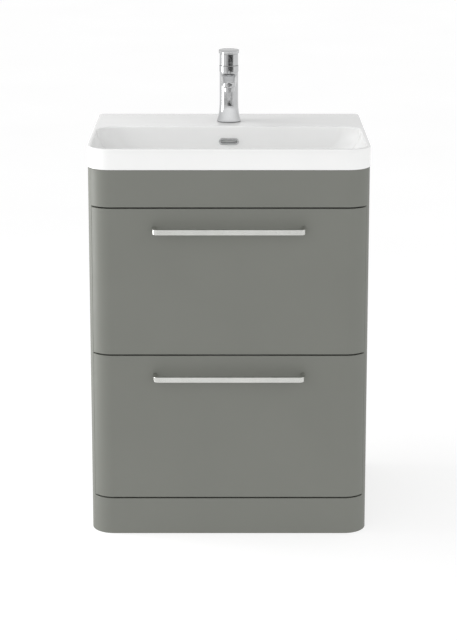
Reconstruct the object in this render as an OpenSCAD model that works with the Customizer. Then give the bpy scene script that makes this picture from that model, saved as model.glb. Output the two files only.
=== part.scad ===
// Floor-standing bathroom vanity: a two-drawer cabinet with rounded front corners, a one-piece
// ceramic basin on top, a single-lever tap, and the waste and trap below the bowl.
// Millimetres. +Z is up, the drawers open towards -Y, and the floor is z = 0.
// The origin is the middle of the footprint, with the two handles counted in.

/* [Overall] */
// Width of the basin, which is the widest piece
basin_w = 600; // [560:10:800]
// Depth from the wall to the front of the basin
basin_d = 450; // [440:5:500]
// Height from the floor to the rim of the basin
rim_h = 852; // [830:1:900]
// Radius of the basin's front corners, seen from above
corner_r = 50; // [40:1:60]

/* [Cabinet] */
// How far the cabinet stands back from the edge of the basin
body_inset = 1; // [0.5:0.5:3]
// Thickness of the side, base and rear boards
board_t = 18; // [16:1:19]
// Thickness of the thin back panel
back_t = 8; // [6:1:10]
// Thickness of the plinth, drawer fronts and fascia
front_t = 22; // [18:1:24]
// Gap between neighbouring fronts
seam = 3; // [2:0.5:4]
// Height of the middle of the seam above the plinth
plinth_h = 82; // [70:1:100]
// Height from one drawer seam to the next
drawer_pitch = 321.8; // [310:0.1:325]
// Thickness of the rubber bumpers behind the drawer fronts
bumper_t = 1; // [0.8:0.1:1.5]

/* [Basin] */
// Height of the basin's visible front
basin_face_h = 45; // [40:1:50]
// Width of the rim at the front and the sides
rim_t = 8.5; // [8:0.5:12]
// Depth of the ledge behind the bowl
ledge_d = 167; // [155:1:175]
// Depth of the bowl below the rim
bowl_depth = 105; // [95:1:115]
// Thickness of the ceramic under the bowl
bowl_wall = 8; // [7:0.5:10]
// Radius of the basin's rear corners
rear_r = 12; // [6:1:20]

/* [Drawers] */
// Depth of the drawer boxes
box_d = 390; // [360:5:395]
// Height of the upper drawer box
upper_box_h = 150; // [120:5:150]
// Height of the lower drawer box
lower_box_h = 200; // [150:5:260]
// Thickness of the drawer sides
side_t = 16; // [12:1:16]
// Thickness of the drawer bottoms
bottom_t = 12; // [8:1:14]
// Width of the cut-out that lets the upper drawer pass the trap
cutout_w = 180; // [140:10:220]

/* [Handles] */
// Overall length of a handle
handle_l = 324; // [200:1:360]
// Height of a handle's bar
handle_h = 12; // [10:1:16]
// Thickness of a handle's bar, front to back
handle_t = 8; // [7:0.5:10]
// How far a handle stands out from its drawer front
handle_reach = 33; // [28:1:40]
// Distance from a drawer front's top edge to the middle of its handle
handle_drop = 44; // [35:1:60]

/* [Tap] */
// Distance from the front of the basin to the middle of the tap
tap_depth = 350; // [345:1:360]
// Height of the tap above the rim
tap_h = 163; // [150:1:180]
// Radius of the tap's upright body
tap_r = 21; // [21:0.5:24]
// Distance from the tap's middle to the tip of its spout
spout_reach = 110; // [90:5:130]

/* [Hidden] */
$fn = 96;

// The frame: front and back planes, and the heights of the seams
face_y = -(basin_d - body_inset + handle_reach) / 2 + handle_reach;
front_y = face_y - body_inset;
back_y = front_y + basin_d;
top_z = rim_h - basin_face_h;
half_w = basin_w / 2 - body_inset;
body_r = corner_r - body_inset;
inner_x = half_w - board_t;
panel_y = face_y + front_t + bumper_t;
rear_board_y = back_y - board_t;
lower_seam = plinth_h;
middle_seam = plinth_h + drawer_pitch;
upper_seam = plinth_h + 2 * drawer_pitch;
base_top = plinth_h - seam / 2;

// Small rubber bumpers, two at each end of each drawer front
bumper_r = 4;
bumper_from_side = 5;
bumper_x = inner_x + bumper_from_side;
bumper_from_edge = 25;

// Boards inside the cabinet
plinth_rail_gap = 40;
plinth_rail_y = rear_board_y - plinth_rail_gap;
front_rail_h = 53;
hanging_rail_h = 100;
back_panel_top = top_z - hanging_rail_h;
service_w = 300;
service_z = [440, 690];
wall_hole_r = 4;
wall_hole_pitch = 400;
wall_hole_raise = 3;
wall_hole_z = top_z - hanging_rail_h / 2 + wall_hole_raise;

// Telescopic slides: three nested channels each side, open towards each other
slide_w = 12.7;
slide_l = 400;
slide_setback = 4;
slide_y = face_y + front_t + slide_setback;
member_short = 5;
fixed_member = [inner_x - 10.4, inner_x, 22.5, 1.3];
middle_member = [inner_x - 10.1, inner_x - 3.1, 19.6, 1.2];
drawer_member = [inner_x - slide_w, inner_x - 5.1, 16.8, 1.2];

// Drawer boxes
box_x = inner_x - slide_w;
box_inner_x = box_x - side_t;
box_y = face_y + front_t;
box_back_y = box_y + box_d;
upper_box_raise = 26.2;
lower_box_raise = 18;
upper_box_z = middle_seam + upper_box_raise;
lower_box_z = lower_seam + lower_box_raise;
slide_rise = 75;
cutout_clearance = 60;
guard_t = 5;
guard_drop = 10;

// Screws of the handles and the drawer fronts
screw_r = 2;
screw_clearance = 0.4;
thread_clearance = 0.05;
screw_head = [4, 2.5];
handle_bend_r = 12;
handle_screw_x = handle_l / 2 - handle_t / 2;
handle_thread_l = 14;
handle_screw_l = front_t + handle_thread_l;
front_thread_l = 12;
front_screw_l = side_t + front_thread_l;
front_screw_x = 190;
front_screw_inset = 30;

// The bowl: it narrows towards the floor along a rounded quarter curve, steeper at the rear wall
bowl_x = basin_w / 2 - rim_t;
bowl_y = front_y + rim_t;
bowl_back_y = back_y - ledge_d;
bowl_floor_z = rim_h - bowl_depth;
side_narrowing = 150;
front_narrowing = 130;
rear_narrowing = 60;
side_curve = 1.8;
front_curve = 1.5;
rear_curve = 3;
bowl_levels = 9;
bowl_front_r = corner_r - rim_t;
bowl_rear_r = 50;
rear_r_closing = 0.4;
shell_top_drop = 6;
level_t = 0.02;
hull_fn = 32;
shell_gap = 2;
ledge_top_t = 12;
ledge_wall = 10;
ledge_front_wall = 13;

// Overflow in the bowl's rear wall
overflow_z = rim_h - 35;
overflow_size = [44, 15];
overflow_slot = [34, 7];
overflow_sleeve_t = 1.2;
overflow_depth = 9;
overflow_face_t = 2.2;
overflow_hole_gap = 2;
overflow_y = bowl_back_y - 1.6;

// Waste and trap, on the vertical axis through the middle of the bowl's floor
waste_y = (bowl_y + front_narrowing + bowl_back_y - rear_narrowing) / 2;
waste_r = 21;
waste_bore_r = 17;
waste_hole_r = 22;
flange_r = 33;
flange_t = 2.5;
seal_t = 1.5;
seal_r = flange_r - 1;
seal_gap = 0.5;
flange_top = bowl_floor_z + seal_t + flange_t;
waste_drop = 57;
waste_end_z = bowl_floor_z - waste_drop;
spider_raise = 10;
spider_z = waste_end_z + spider_raise;
spider_h = 6;
spider_arm_w = 2;
hub_r = 7;
plug_r = 31;
plug_edge = 2;
plug_dome_h = 3;
plug_stem_r = 4;
plug_stem_drop = 6;
plug_seat = 3;
plug_fit = 0.05;
shell_z = bowl_floor_z - bowl_wall;
washer_t = 4;
waste_nut_h = 10;
waste_nut_r = 29;
pipe_r = 16;
pipe_t = 1.7;
pipe_fit = 0.3;
spigot_r = pipe_r - 0.8;
spigot_l = 20;
trap_nut_wall = 5;
trap_nut_z = waste_end_z - 16;
trap_nut_h = 26;
trap_nut_shoulder = 15.5;
trap_body_r = 30;
trap_wall = 3;
trap_body_z = [waste_end_z - 145, waste_end_z - 50];
trap_neck_r = pipe_r + 6;
trap_neck_h = 15;
trap_cup_h = 55;
trap_cup_lap = 12;
trap_cup_z = trap_body_z[0] - trap_cup_h;
inlet_pipe_z = [trap_body_z[0] + 15, waste_end_z + 8];
outlet_z = trap_body_z[1] - 25;
outlet_boss_r = pipe_r + 5;
outlet_boss_l = 18;
outlet_boss_y = trap_body_r - 4;

// Tap
tap_y = front_y + tap_depth;
tap_top = rim_h + tap_h;
tap_seal_t = 1;
tap_base_z = rim_h + tap_seal_t;
tap_base_r = 27.5;
flare_h = 55;
flare_steps = 10;
tap_hole_r = 17.5;
lever_t = 8;
lever_gap = 1;
head_drop = 35.5;
head_z = tap_top - head_drop;
head_gap = 0.5;
head_floor_t = 4;
collar_h = 14;
collar_z = head_z - collar_h;
collar_r = tap_r + 0.8;
cartridge_r = 16.2;
cartridge_fit = 0.1;
cartridge_seat = 10;
cartridge_top = head_z + 5;
lever_r = 23;
lever_nose_r = 19.5;
lever_nose = 12;
lever_stem_r = 3;
lever_stem_l = 14;
spout_root = [34, 26];
spout_tip = [15, 13];
spout_root_z = collar_z - 16;
spout_tip_z = collar_z - 22;
aerator_r = 12;
aerator_h = 9;
aerator_wall = 2;
aerator_drop = 3;
inlet_r = 4.7;
inlet_l = 12;
inlet_at = [9, 6];
stud_r = 4;
stud_at = -9;
stud_l = 60;
stud_drop = 50;
stud_fit = 0.5;
clamp_washer_t = 3;
clamp_nut_r = 7.5;
clamp_nut_h = 8;
clamp_z = rim_h - ledge_top_t - clamp_washer_t;

// ---- shared shapes ----

// Outline seen from above: straight sides, front corners of radius rf and rear corners of radius rb
module plan(hw, y0, y1, rf, rb = 0) {
    translate([-hw, y0 + rf]) square([2 * hw, y1 - rb - y0 - rf]);
    translate([rf - hw, y0]) square([2 * (hw - rf), rf + 1]);
    for (s = [-1, 1]) translate([s * (hw - rf), y0 + rf]) circle(rf);
    if (rb > 0) {
        translate([rb - hw, y1 - rb - 1]) square([2 * (hw - rb), rb + 1]);
        for (s = [-1, 1]) translate([s * (hw - rb), y1 - rb]) circle(rb);
    }
}

// Upright board between two corners
module board(p0, p1) {
    translate(p0) cube(p1 - p0);
}

// The same thing on the right and on the left
module both_sides() {
    children();
    mirror([1, 0, 0]) children();
}

// Round bar that points towards the front, its far end at the given y
module rod_y(r, l, x, y, z) {
    translate([x, y + l, z]) rotate([90, 0, 0]) cylinder(r = r, h = l);
}

module ring(r_out, r_in, h) {
    difference() {
        cylinder(r = r_out, h = h);
        translate([0, 0, -1]) cylinder(r = r_in, h = h + 2);
    }
}

// Oblong with round ends, w wide and h high
module oblong(w, h) {
    square([w - h, h], center = true);
    for (s = [-1, 1]) translate([s * (w - h) / 2, 0]) circle(h / 2);
}

// ---- cabinet ----

// Full-height side, whose front edge carries on the round corner of the fronts
module side_panel() {
    color([0.49, 0.49, 0.46]) linear_extrude(top_z) intersection() {
        plan(half_w, face_y, back_y, body_r);
        translate([inner_x, panel_y]) square([board_t, back_y - panel_y]);
    }
}
module side_panel_right() { side_panel(); }
module side_panel_left() { mirror([1, 0, 0]) side_panel(); }

// Slab of the rounded front, from one height to another
module front_slab(z0, z1, t) {
    translate([0, 0, z0]) linear_extrude(z1 - z0) intersection() {
        plan(half_w, face_y, back_y, body_r);
        translate([-half_w, face_y]) square([2 * half_w, t]);
    }
}

module plinth_front() {
    color([0.46, 0.46, 0.43]) front_slab(0, base_top, front_t + bumper_t);
}

module top_fascia() {
    color([0.49, 0.49, 0.46]) front_slab(upper_seam + seam / 2, top_z, front_t + bumper_t);
}

module base_panel() {
    color("gainsboro")
        board([-inner_x, panel_y, base_top - board_t], [inner_x, rear_board_y, base_top]);
}

module plinth_rear_rail() {
    color("gainsboro")
        board([-inner_x, plinth_rail_y, 0], [inner_x, plinth_rail_y + board_t, base_top - board_t]);
}

module front_rail() {
    color("gainsboro")
        board([-inner_x, panel_y, upper_seam + seam / 2],
              [inner_x, panel_y + board_t, upper_seam + seam / 2 + front_rail_h]);
}

// Rail at the top of the back, which the wall screws go through
module hanging_rail() {
    color("gainsboro") difference() {
        board([-inner_x, rear_board_y, back_panel_top], [inner_x, back_y, top_z]);
        for (s = [-1, 1])
            rod_y(wall_hole_r, board_t + 2, s * wall_hole_pitch / 2, rear_board_y - 1, wall_hole_z);
    }
}

// Thin back with the opening for the pipes
module back_panel() {
    color("whitesmoke") difference() {
        board([-inner_x, rear_board_y, base_top - board_t],
              [inner_x, rear_board_y + back_t, back_panel_top]);
        board([-service_w / 2, rear_board_y - 1, service_z[0]],
              [service_w / 2, rear_board_y + back_t + 1, service_z[1]]);
    }
}

module front_bumpers() {
    color("dimgray") both_sides()
        for (seam_z = [lower_seam, middle_seam], end = [bumper_from_edge, drawer_pitch - bumper_from_edge])
            rod_y(bumper_r, bumper_t, bumper_x, panel_y - bumper_t, seam_z + end);
}

// ---- telescopic slides ----

// One channel along Y. m = [nearer x, farther x, half height, sheet thickness]
module channel(m, y, l, z, web_out) {
    translate([m[0], y, z - m[2]]) difference() {
        cube([m[1] - m[0], l, 2 * m[2]]);
        translate([web_out ? -m[3] : m[3], -1, m[3]])
            cube([m[1] - m[0], l + 2, 2 * (m[2] - m[3])]);
    }
}

module slide_set(m, inset, z, web_out) {
    color("silver") both_sides()
        channel(m, slide_y + inset, slide_l - 2 * inset, z, web_out);
}

module cabinet_rails_upper() { slide_set(fixed_member, 0, upper_box_z + slide_rise, true); }
module cabinet_rails_lower() { slide_set(fixed_member, 0, lower_box_z + slide_rise, true); }
module slide_members_upper() { slide_set(middle_member, member_short, upper_box_z + slide_rise, true); }
module slide_members_lower() { slide_set(middle_member, member_short, lower_box_z + slide_rise, true); }
module upper_drawer_rails() { slide_set(drawer_member, member_short, upper_box_z + slide_rise, false); }
module lower_drawer_rails() { slide_set(drawer_member, member_short, lower_box_z + slide_rise, false); }

// ---- drawers ----

// Heights of the screws that hold a drawer front to its box
function front_screw_heights(box_z, box_h) =
    [box_z + bottom_t + front_screw_inset, box_z + box_h - front_screw_inset];

module handle_screw_axes(seam_z) {
    for (s = [-1, 1])
        translate([s * handle_screw_x, 0, seam_z + drawer_pitch - seam / 2 - handle_drop]) children();
}

module front_screw_axes(box_z, box_h) {
    for (s = [-1, 1], z = front_screw_heights(box_z, box_h))
        translate([s * front_screw_x, 0, z]) children();
}

// Front between the seam at seam_z and the next one up, drilled for its screws
module drawer_front(seam_z, box_z, box_h) {
    color([0.49, 0.49, 0.46]) difference() {
        front_slab(seam_z + seam / 2, seam_z + drawer_pitch - seam / 2, front_t);
        handle_screw_axes(seam_z)
            rod_y(screw_r + screw_clearance, front_t + 2, 0, face_y - 1, 0);
        front_screw_axes(box_z, box_h)
            rod_y(screw_r + thread_clearance, front_screw_l - side_t + 1,
                  0, face_y + front_t - (front_screw_l - side_t), 0);
    }
}

// Flat bow handle: a bar that bends back to the drawer front at both ends
module handle(seam_z) {
    z = seam_z + drawer_pitch - seam / 2 - handle_drop;
    bar_y = face_y - handle_reach;
    color("lightgray") difference() {
        translate([0, 0, z - handle_h / 2]) linear_extrude(handle_h) difference() {
            plan(handle_l / 2, bar_y, face_y, handle_bend_r);
            plan(handle_l / 2 - handle_t, bar_y + handle_t, face_y + 1, handle_bend_r - handle_t);
        }
        handle_screw_axes(seam_z)
            rod_y(screw_r + thread_clearance, handle_screw_l - front_t + 1,
                  0, face_y - (handle_screw_l - front_t), 0);
    }
}

// Screw along Y: its head is at the rear, and its tip is at the given y
module screw(l, tip_y) {
    rod_y(screw_r, l, 0, tip_y, 0);
    rod_y(screw_head[0], screw_head[1], 0, tip_y + l, 0);
}

module handle_screws(seam_z) {
    color("silver") handle_screw_axes(seam_z)
        screw(handle_screw_l, face_y + front_t - handle_screw_l);
}

module front_screws(box_z, box_h) {
    color("goldenrod") front_screw_axes(box_z, box_h)
        screw(front_screw_l, box_y + side_t - front_screw_l);
}

module box_side(z, h) {
    color("whitesmoke") board([box_inner_x, box_y, z], [box_x, box_back_y, z + h]);
}

module box_front(z, h) {
    color("whitesmoke") difference() {
        board([-box_inner_x, box_y, z + bottom_t], [box_inner_x, box_y + side_t, z + h]);
        front_screw_axes(z, h) rod_y(screw_r + screw_clearance, side_t + 2, 0, box_y - 1, 0);
    }
}

module upper_drawer_front() { drawer_front(middle_seam, upper_box_z, upper_box_h); }
module upper_handle() { handle(middle_seam); }
module upper_handle_screws() { handle_screws(middle_seam); }
module upper_front_screws() { front_screws(upper_box_z, upper_box_h); }
module upper_side_right() { box_side(upper_box_z, upper_box_h); }
module upper_side_left() { mirror([1, 0, 0]) box_side(upper_box_z, upper_box_h); }
module upper_box_front() { box_front(upper_box_z, upper_box_h); }

// Where the cut-out for the trap ends, in front of the trap
cutout_y = waste_y - cutout_clearance;

module upper_bottom() {
    color("whitesmoke") difference() {
        board([-box_inner_x, box_y, upper_box_z], [box_inner_x, box_back_y, upper_box_z + bottom_t]);
        board([-cutout_w / 2, cutout_y, upper_box_z - 1],
              [cutout_w / 2, box_back_y + 1, upper_box_z + bottom_t + 1]);
    }
}

// The rear of the upper box is two short boards, one each side of the cut-out
module upper_back() {
    color("whitesmoke") both_sides()
        board([cutout_w / 2 + guard_t, box_back_y - side_t, upper_box_z + bottom_t],
              [box_inner_x, box_back_y, upper_box_z + upper_box_h]);
}

// U-shaped moulding that lines the cut-out, so that nothing falls through it
module upper_cutout_guard() {
    guard_top = upper_box_z + upper_box_h - guard_drop;
    color("gainsboro") difference() {
        board([-cutout_w / 2 - guard_t, cutout_y - guard_t, upper_box_z + bottom_t],
              [cutout_w / 2 + guard_t, box_back_y, guard_top]);
        board([-cutout_w / 2, cutout_y, upper_box_z], [cutout_w / 2, box_back_y + 1, guard_top + 1]);
    }
}

module lower_drawer_front() { drawer_front(lower_seam, lower_box_z, lower_box_h); }
module lower_handle() { handle(lower_seam); }
module lower_handle_screws() { handle_screws(lower_seam); }
module lower_front_screws() { front_screws(lower_box_z, lower_box_h); }
module lower_side_right() { box_side(lower_box_z, lower_box_h); }
module lower_side_left() { mirror([1, 0, 0]) box_side(lower_box_z, lower_box_h); }
module lower_box_front() { box_front(lower_box_z, lower_box_h); }

module lower_back() {
    color("whitesmoke")
        board([-box_inner_x, box_back_y - side_t, lower_box_z + bottom_t],
              [box_inner_x, box_back_y, lower_box_z + lower_box_h]);
}

module lower_bottom() {
    color("whitesmoke")
        board([-box_inner_x, box_y, lower_box_z], [box_inner_x, box_back_y, lower_box_z + bottom_t]);
}

// ---- basin ----

// How far the bowl has closed in at depth t (0 at the rim, 1 at the floor), as a share of the whole
function closing(t, power) = 1 - pow(1 - pow(t, power), 1 / power);

// Half width of the bowl at depth t, and its front and rear edges
function bowl_half(t) = bowl_x - side_narrowing * closing(t, side_curve);
function bowl_front(t) = bowl_y + front_narrowing * closing(t, front_curve);
function bowl_rear(t) = bowl_back_y - rear_narrowing * closing(t, rear_curve);
function bowl_corner(t) = bowl_rear_r * (1 - rear_r_closing * t);

// Thin horizontal slice through the hollow of the bowl
module bowl_slice(t) {
    translate([0, 0, rim_h - bowl_depth * t]) linear_extrude(level_t, $fn = hull_fn)
        plan(bowl_half(t), bowl_front(t), bowl_rear(t), bowl_front_r, bowl_corner(t));
}

module bowl_hollow() {
    hull() {
        translate([0, 0, 1]) bowl_slice(0);
        for (i = [0 : bowl_levels]) bowl_slice(sin(90 * i / bowl_levels));
    }
}

// Thin slice through the outside of the bowl, kept clear of the boards around it
module shell_slice(t) {
    translate([0, 0, rim_h - (bowl_depth + bowl_wall) * t]) linear_extrude(level_t, $fn = hull_fn)
        plan(min(bowl_half(t) + bowl_wall, inner_x - shell_gap),
             max(bowl_front(t) - bowl_wall, panel_y + shell_gap),
             bowl_rear(t) + bowl_wall, bowl_front_r, bowl_corner(t));
}

module bowl_shell() {
    first = asin((basin_face_h - shell_top_drop) / (bowl_depth + bowl_wall)) / 90;
    hull() for (i = [0 : bowl_levels])
        shell_slice(sin(90 * (first + (1 - first) * i / bowl_levels)));
}

// The overflow slot, grown by so much all round
module overflow_oblong(grow = 0) {
    oblong(overflow_slot[0] + 2 * grow, overflow_slot[1] + 2 * grow);
}

module basin() {
    color("white") difference() {
        union() {
            translate([0, 0, top_z]) linear_extrude(basin_face_h)
                plan(basin_w / 2, front_y, back_y, corner_r, rear_r);
            bowl_shell();
        }
        bowl_hollow();
        board([ledge_wall - basin_w / 2, bowl_back_y + ledge_front_wall, top_z - 1],
              [basin_w / 2 - ledge_wall, back_y - ledge_wall, rim_h - ledge_top_t]);
        translate([0, waste_y, shell_z - 1]) cylinder(r = waste_hole_r, h = bowl_wall + 2);
        translate([0, tap_y, rim_h - ledge_top_t - 1]) cylinder(r = tap_hole_r, h = ledge_top_t + 2);
        translate([0, bowl_back_y + overflow_depth, overflow_z]) rotate([90, 0, 0])
            linear_extrude(2 * overflow_depth)
                overflow_oblong(overflow_hole_gap);
    }
}

// Chrome ring with a sleeve that runs into the overflow slot
module overflow_cover() {
    color("lightgray") difference() {
        union() {
            translate([0, overflow_y, overflow_z]) rotate([90, 0, 0]) linear_extrude(overflow_face_t)
                oblong(overflow_size[0], overflow_size[1]);
            translate([0, bowl_back_y + overflow_depth - 2, overflow_z]) rotate([90, 0, 0])
                linear_extrude(overflow_depth)
                    overflow_oblong(overflow_sleeve_t);
        }
        translate([0, bowl_back_y + overflow_depth, overflow_z]) rotate([90, 0, 0])
            linear_extrude(2 * overflow_depth) overflow_oblong();
    }
}

// ---- waste and trap ----

module at_waste(z) {
    translate([0, waste_y, z]) children();
}

module waste_seal() {
    color("dimgray") at_waste(bowl_floor_z) ring(seal_r, waste_hole_r + seal_gap, seal_t);
}

// Flanged tube with a three-armed hub that guides the plug's stem
module waste_body() {
    color("lightgray") at_waste(0) {
        difference() {
            union() {
                translate([0, 0, flange_top - flange_t]) cylinder(r = flange_r, h = flange_t);
                translate([0, 0, waste_end_z]) cylinder(r = waste_r, h = flange_top - waste_end_z - 1);
            }
            translate([0, 0, waste_end_z - 1]) cylinder(r = waste_bore_r, h = flange_top - waste_end_z + 2);
        }
        translate([0, 0, spider_z]) linear_extrude(spider_h) difference() {
            union() {
                circle(hub_r);
                for (a = [90 : 120 : 330]) rotate(a) translate([hub_r - 2, -spider_arm_w / 2])
                    square([waste_bore_r - hub_r + 3, spider_arm_w]);
            }
            circle(plug_stem_r + plug_fit);
        }
    }
}

// Domed push plug on its stem, drawn closed on the flange
module waste_plug() {
    color("lightgray") at_waste(0) rotate_extrude() polygon([
        [0, spider_z - plug_stem_drop], [plug_stem_r, spider_z - plug_stem_drop],
        [plug_stem_r, flange_top - plug_seat], [waste_bore_r - 1, flange_top - plug_seat],
        [waste_bore_r - 1, flange_top], [plug_r, flange_top], [plug_r, flange_top + plug_edge],
        for (i = [0 : 3])
            [(plug_r - 1) * (1 - i / 3), flange_top + plug_edge + 1 + plug_dome_h * sin(30 * i)]
    ]);
}

module waste_washer() {
    color("dimgray") at_waste(shell_z - washer_t) ring(seal_r, waste_r + seal_gap, washer_t);
}

module waste_nut() {
    color("goldenrod") at_waste(shell_z - washer_t - waste_nut_h) difference() {
        cylinder(r = waste_nut_r, h = waste_nut_h, $fn = 6);
        translate([0, 0, -1]) cylinder(r = waste_r + pipe_fit, h = waste_nut_h + 2);
    }
}

module trap_inlet_pipe() {
    color("whitesmoke") at_waste(inlet_pipe_z[0])
        ring(pipe_r, pipe_r - pipe_t, inlet_pipe_z[1] - inlet_pipe_z[0]);
}

// Coupling nut that joins the waste tube to the trap's inlet pipe
module trap_nut() {
    color("whitesmoke") at_waste(trap_nut_z) difference() {
        cylinder(r = waste_r + trap_nut_wall, h = trap_nut_h);
        translate([0, 0, -1]) cylinder(r = pipe_r + pipe_fit, h = trap_nut_h + 2);
        translate([0, 0, trap_nut_shoulder]) cylinder(r = waste_r + pipe_fit, h = trap_nut_h);
    }
}

// Upper half of the bottle trap, open below, with its inlet at the top and its outlet at the rear
module trap_body() {
    h = trap_body_z[1] - trap_body_z[0];
    color("whitesmoke") at_waste(trap_body_z[0]) difference() {
        union() {
            cylinder(r = trap_body_r, h = h);
            translate([0, 0, h - 1]) cylinder(r = trap_neck_r, h = trap_neck_h + 1);
            rod_y(outlet_boss_r, outlet_boss_l, 0, outlet_boss_y, outlet_z - trap_body_z[0]);
        }
        translate([0, 0, -1]) cylinder(r = trap_body_r - trap_wall, h = h + 1 - trap_wall);
        translate([0, 0, h - trap_wall - 1])
            cylinder(r = pipe_r + pipe_fit, h = trap_neck_h + trap_wall + 2);
        rod_y(pipe_r + pipe_fit, trap_body_r + outlet_boss_l, 0, trap_wall, outlet_z - trap_body_z[0]);
    }
}

// Cup that unscrews for cleaning
module trap_cup() {
    color("whitesmoke") at_waste(trap_cup_z) difference() {
        cylinder(r = trap_body_r + trap_wall + pipe_fit, h = trap_cup_h + trap_cup_lap);
        translate([0, 0, trap_wall]) cylinder(r = trap_body_r - trap_wall, h = trap_cup_h + trap_cup_lap);
        translate([0, 0, trap_cup_h]) cylinder(r = trap_body_r + pipe_fit, h = trap_cup_lap + 1);
    }
}

// Pipe from the trap to the wall: its exposed length is the full radius
module trap_outlet_pipe() {
    boss_end = waste_y + outlet_boss_y + outlet_boss_l;
    color("whitesmoke") difference() {
        union() {
            rod_y(spigot_r, spigot_l, 0, boss_end + 6 - spigot_l, outlet_z);
            rod_y(pipe_r, back_y - boss_end - 1, 0, boss_end + 1, outlet_z);
        }
        rod_y(pipe_r - pipe_t, back_y - boss_end + spigot_l, 0, boss_end + 5 - spigot_l, outlet_z);
    }
}

// ---- tap ----

module at_tap(z) {
    translate([0, tap_y, z]) children();
}

module tap_base_seal() {
    color("dimgray") at_tap(rim_h) ring(tap_base_r - 1.5, tap_hole_r, tap_seal_t);
}

// Radius of the body at height h above its foot, where it flares out like a bell
function flare(h) = tap_r + (tap_base_r - tap_r) * pow(1 - h / flare_h, 3);

module tap_upright() {
    rotate_extrude() polygon([
        [0, tap_base_z],
        for (i = [0 : flare_steps])
            let (h = flare_h * i / flare_steps) [flare(h), tap_base_z + h],
        [tap_r, collar_z], [0, collar_z]
    ]);
}

module tap_spout() {
    hull() {
        translate([-spout_root[0] / 2, -8, spout_root_z - spout_root[1] / 2])
            cube([spout_root[0], 2, spout_root[1]]);
        translate([0, spout_tip[0] - spout_reach, spout_tip_z])
            cylinder(r = spout_tip[0], h = spout_tip[1], $fn = hull_fn);
    }
}

// Upright and spout are one casting, with two inlets and the stud's hole underneath
module tap_body() {
    color("lightgray") at_tap(0) difference() {
        union() {
            tap_upright();
            tap_spout();
        }
        translate([0, spout_tip[0] - spout_reach, spout_tip_z - 2 * aerator_drop])
            cylinder(r = aerator_r + 0.1, h = aerator_h + aerator_drop);
        for (s = [-1, 1]) translate([s * inlet_at[0], inlet_at[1], tap_base_z - 1])
            cylinder(r = inlet_r, h = inlet_l + 1);
        translate([0, stud_at, tap_base_z - 1]) cylinder(r = stud_r + thread_clearance, h = inlet_l + 1);
        translate([0, 0, collar_z - cartridge_seat])
            cylinder(r = cartridge_r + cartridge_fit, h = cartridge_seat + 1);
    }
}

module tap_aerator() {
    color("gray") at_tap(spout_tip_z - aerator_drop)
        translate([0, spout_tip[0] - spout_reach]) difference() {
            cylinder(r = aerator_r, h = aerator_h);
            translate([0, 0, -1]) cylinder(r = aerator_r - aerator_wall, h = aerator_drop);
        }
}

module tap_collar() {
    color("lightgray") at_tap(collar_z) ring(collar_r, cartridge_r + cartridge_fit, collar_h);
}

module tap_cartridge() {
    color("white") at_tap(collar_z - cartridge_seat)
        cylinder(r = cartridge_r, h = cartridge_top - collar_z + cartridge_seat);
}

// Turning head: a sleeve over the cartridge with a floor that rides just above it
module tap_head() {
    top = tap_top - lever_t - lever_gap;
    color("lightgray") at_tap(0) difference() {
        translate([0, 0, head_z + head_gap]) cylinder(r = tap_r, h = top - head_z - head_gap);
        translate([0, 0, head_z]) cylinder(r = cartridge_r + 1, h = cartridge_top + head_gap - head_z);
        translate([0, 0, cartridge_top + head_floor_t])
            cylinder(r = cartridge_r + 1, h = top - cartridge_top);
    }
}

// Flat lever with a short nose over the spout, and the stem that works the cartridge
module tap_lever() {
    color("lightgray") at_tap(tap_top - lever_t) {
        linear_extrude(lever_t) {
            circle(lever_r);
            translate([0, -lever_nose]) circle(lever_nose_r);
            translate([-lever_nose_r, -lever_nose]) square([2 * lever_nose_r, lever_nose]);
        }
        translate([0, 0, -lever_stem_l]) cylinder(r = lever_stem_r, h = lever_stem_l + 1);
    }
}

module tap_stud() {
    color("silver") at_tap(rim_h - stud_drop) translate([0, stud_at, 0]) cylinder(r = stud_r, h = stud_l);
}

// Half-round washer under the ledge, which leaves the rear of the hole free for the supply tails
module tap_clamp_washer() {
    color("silver") at_tap(clamp_z) linear_extrude(clamp_washer_t) difference() {
        circle(tap_base_r);
        translate([-tap_base_r - 1, 0]) square([2 * tap_base_r + 2, tap_base_r + 1]);
        translate([0, stud_at]) circle(stud_r + stud_fit);
    }
}

module tap_clamp_nut() {
    color("goldenrod") at_tap(clamp_z - clamp_nut_h) translate([0, stud_at, 0]) difference() {
        cylinder(r = clamp_nut_r, h = clamp_nut_h, $fn = 6);
        translate([0, 0, -1]) cylinder(r = stud_r + thread_clearance, h = clamp_nut_h + 2);
    }
}

side_panel_left();
side_panel_right();
base_panel();
back_panel();
plinth_front();
plinth_rear_rail();
top_fascia();
front_rail();
hanging_rail();
front_bumpers();
cabinet_rails_upper();
cabinet_rails_lower();
basin();
overflow_cover();
waste_seal();
waste_body();
waste_washer();
waste_nut();
waste_plug();
trap_inlet_pipe();
trap_nut();
trap_body();
trap_cup();
trap_outlet_pipe();
tap_base_seal();
tap_body();
tap_collar();
tap_cartridge();
tap_aerator();
tap_stud();
tap_clamp_washer();
tap_clamp_nut();
tap_head();
tap_lever();
slide_members_upper();
slide_members_lower();
upper_drawer_front();
upper_handle();
upper_handle_screws();
upper_front_screws();
upper_side_left();
upper_side_right();
upper_box_front();
upper_back();
upper_bottom();
upper_cutout_guard();
upper_drawer_rails();
lower_drawer_front();
lower_handle();
lower_handle_screws();
lower_front_screws();
lower_side_left();
lower_side_right();
lower_box_front();
lower_back();
lower_bottom();
lower_drawer_rails();
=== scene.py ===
import math

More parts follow.
